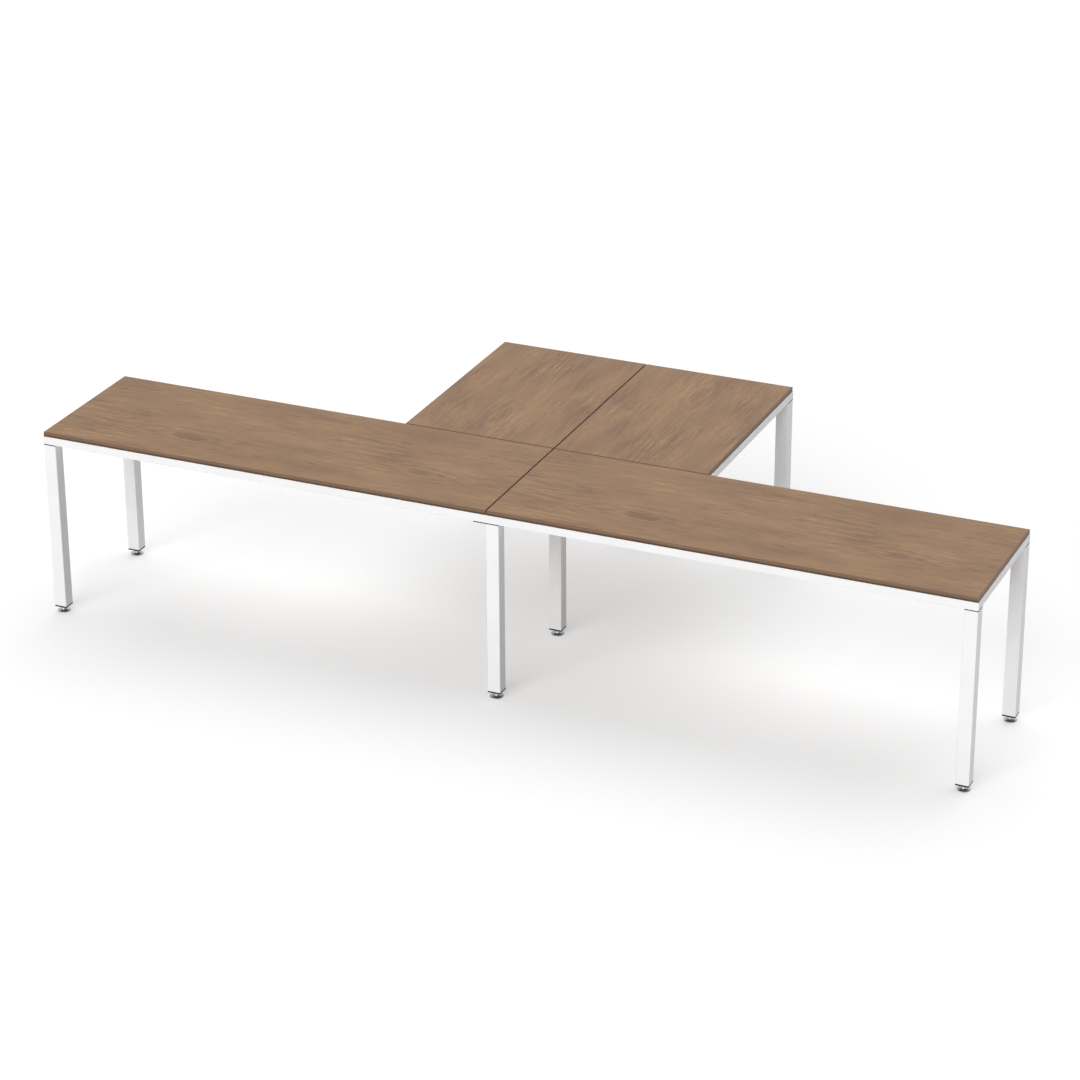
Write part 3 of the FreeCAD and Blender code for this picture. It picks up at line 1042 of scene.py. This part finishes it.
        # A circle of three corners stands upright, with one corner outwards. Its middle lies a
        # third of its height off its base, its height is 1.5 radii and its base the root of 3.
        middle = ((inner + height / 3) * MM, 0.0, (self.nut_top + base / 2) * MM)
        select_only()
        bpy.ops.mesh.primitive_circle_add(
            vertices=3, radius=MM, location=middle, rotation=(math.pi / 2, math.pi / 2, 0.0))
        ridge = bpy.context.object
        ridge.name = "foot_thread"
        bpy.ops.object.transform_apply(location=True, rotation=True, scale=True)
        edit_all()
        bpy.ops.transform.resize(
            value=(height / 1.5, 1.0, base / math.sqrt(3)), center_override=middle)
        bpy.ops.object.mode_set(mode="OBJECT")
        length = self.stud_top - self.thread_run_out - self.nut_top - base
        winding = ridge.modifiers.new("winding", "SCREW")
        winding.axis = "Z"
        winding.steps = self.thread_steps
        winding.render_steps = self.thread_steps
        winding.screw_offset = self.thread_pitch * MM
        winding.iterations = math.floor(length / self.thread_pitch)
        winding.use_merge_vertices = True
        apply_modifiers(ridge)
        edit_all()
        bpy.ops.mesh.fill_holes(sides=3)
        close_edited()
        return ridge


@dataclass(frozen=True)
class Lamp:
    """A broad, distant softbox.

    Attributes:
        name: Name of the lamp.
        strength: Light on a face that looks at the lamp, in watts per square metre.
        spread: Angle that the lamp fills, in degrees.
        towards: Direction in which the light travels.
    """

    name: str
    strength: float
    spread: float
    towards: Triple

    def hang(self) -> None:
        """Hang the lamp in the scene."""
        light = bpy.data.lights.new(self.name, "SUN")
        light.energy = self.strength
        light.angle = math.radians(self.spread)
        lamp = bpy.data.objects.new(self.name, light)
        lamp.rotation_euler = Vector(self.towards).to_track_quat("-Z", "Y").to_euler()
        bpy.context.scene.collection.objects.link(lamp)


@dataclass
class Studio:
    """Pale floor, soft light and the camera at the portrait's angle.

    Attributes:
        camera_place: Where the camera stands, in metres.
        yaw: Turn of the view from +Y towards +X, in degrees.
        pitch: How far the view looks down, in degrees.
        roll: Turn of the picture about the view, in degrees.
        focal_mm: Focal length on a sensor as wide as sensor_mm.
        sensor_mm: Width of the sensor.
        clip_end: How far the camera sees, in metres.
        floor_size: Length and width of the floor, in metres.
        floor_white: Colour of the floor as it is seen.
        floor_bounce: Colour of the floor in the light that it throws back on the desk.
        floor_lift: Share of plain white in the floor as it is seen.
        world_white: Colour of the light all round.
        world_strength: Strength of that light on the desk.
        lamps: The lamps.
    """

    camera_place: Triple = (4.6209, -10.7613, 5.7122)
    yaw: float = -23.79
    pitch: float = 24.774
    roll: float = 0.25
    focal_mm: float = 114.6
    sensor_mm: float = 36.0
    clip_end: float = 200.0
    floor_size: float = 80.0
    floor_white: str = "#FAFAFA"
    floor_bounce: str = "#CFCFCF"
    floor_lift: float = 0.43
    world_white: str = "#FFFFFF"
    world_strength: float = 0.26
    lamps: tuple[Lamp, ...] = (
        Lamp("overhead", 1.83, 60.0, (0.02, -0.42, -0.90)),
        Lamp("front_fill", 2.10, 45.0, (0.06, 0.86, -0.50)),
    )

    def build(self) -> None:
        """Set up floor, light, camera and view."""
        self._floor()
        self._world()
        for lamp in self.lamps:
            lamp.hang()
        self._camera()
        bpy.context.scene.view_settings.view_transform = "Standard"

    @staticmethod
    def _seen(tree: Tree) -> Socket:
        """Tell camera, glossy and transmission rays from the light on the object.

        Args:
            tree: Node tree that asks.

        Returns:
            Socket that is one for a ray that shows the backdrop.
        """
        path = add_node(tree, "LightPath")
        glossy = add_node(tree, "Math", {
            0: path.outputs["Is Camera Ray"], 1: path.outputs["Is Glossy Ray"],
        }, operation="MAXIMUM")
        every = add_node(tree, "Math", {
            0: glossy.outputs["Value"], 1: path.outputs["Is Transmission Ray"],
        }, operation="MAXIMUM")
        return every.outputs["Value"]

    def _floor(self) -> None:
        """Lay a pale floor that keeps the shadow and is near white beyond it."""
        select_only()
        bpy.ops.mesh.primitive_plane_add(size=self.floor_size, location=(0.0, 0.0, 0.0))
        floor = bpy.context.object
        floor.name = "floor"
        material, tree = empty_material("pale_floor")
        seen = self._seen(tree)
        pale = add_node(tree, "Mix", {
            "Factor": seen, 6: linear(self.floor_bounce), 7: linear(self.floor_white),
        }, data_type="RGBA")
        paint = add_node(tree, "BsdfDiffuse", {"Color": pale.outputs[2]})
        glow = add_node(tree, "Emission", {"Color": linear(self.world_white), "Strength": 1.0})
        lift = add_node(tree, "Math", {0: seen, 1: self.floor_lift}, operation="MULTIPLY")
        mixed = add_node(tree, "MixShader", {
            0: lift.outputs["Value"], 1: paint.outputs["BSDF"], 2: glow.outputs["Emission"]})
        add_node(tree, "OutputMaterial", {"Surface": mixed.outputs["Shader"]})
        floor.data.materials.append(material)

    def _world(self) -> None:
        """Light all round, plain white to the camera."""
        world = bpy.data.worlds.new("studio")
        bpy.context.scene.world = world
        world.use_nodes = True
        tree = world.node_tree
        tree.nodes.clear()
        white = linear(self.world_white)
        soft = add_node(tree, "Background", {"Color": white, "Strength": self.world_strength})
        plain = add_node(tree, "Background", {"Color": white, "Strength": 1.0})
        mixed = add_node(tree, "MixShader", {
            0: self._seen(tree), 1: soft.outputs["Background"], 2: plain.outputs["Background"]})
        add_node(tree, "OutputWorld", {"Surface": mixed.outputs["Shader"]})

    def _camera(self) -> None:
        """Stand the camera where it sees the desk as in its portrait."""
        yaw, pitch, roll = (math.radians(angle) for angle in (self.yaw, self.pitch, self.roll))
        forward = Vector((
            math.sin(yaw) * math.cos(pitch), math.cos(yaw) * math.cos(pitch), -math.sin(pitch)))
        level = Vector((math.cos(yaw), -math.sin(yaw), 0.0))
        down = forward.cross(level)
        right = math.cos(roll) * level + math.sin(roll) * down
        below = math.cos(roll) * down - math.sin(roll) * level
        turn = Matrix((right, -below, -forward)).transposed().to_4x4()
        lens = bpy.data.cameras.new("portrait")
        lens.sensor_width = self.sensor_mm
        lens.lens = self.focal_mm
        lens.clip_end = self.clip_end
        camera = bpy.data.objects.new("portrait", lens)
        camera.matrix_world = Matrix.Translation(self.camera_place) @ turn
        bpy.context.scene.collection.objects.link(camera)
        bpy.context.scene.camera = camera


def main() -> None:
    """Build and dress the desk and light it."""
    logging.basicConfig(level=logging.INFO, format="%(name)s: %(message)s")
    band = EdgeBand().material()
    for worktop in WORKTOPS:
        worktop.dress(band)
    SteelFrame().dress()
    LevellingFoot().build()
    Studio().build()


if __name__ == "__main__":
    main()
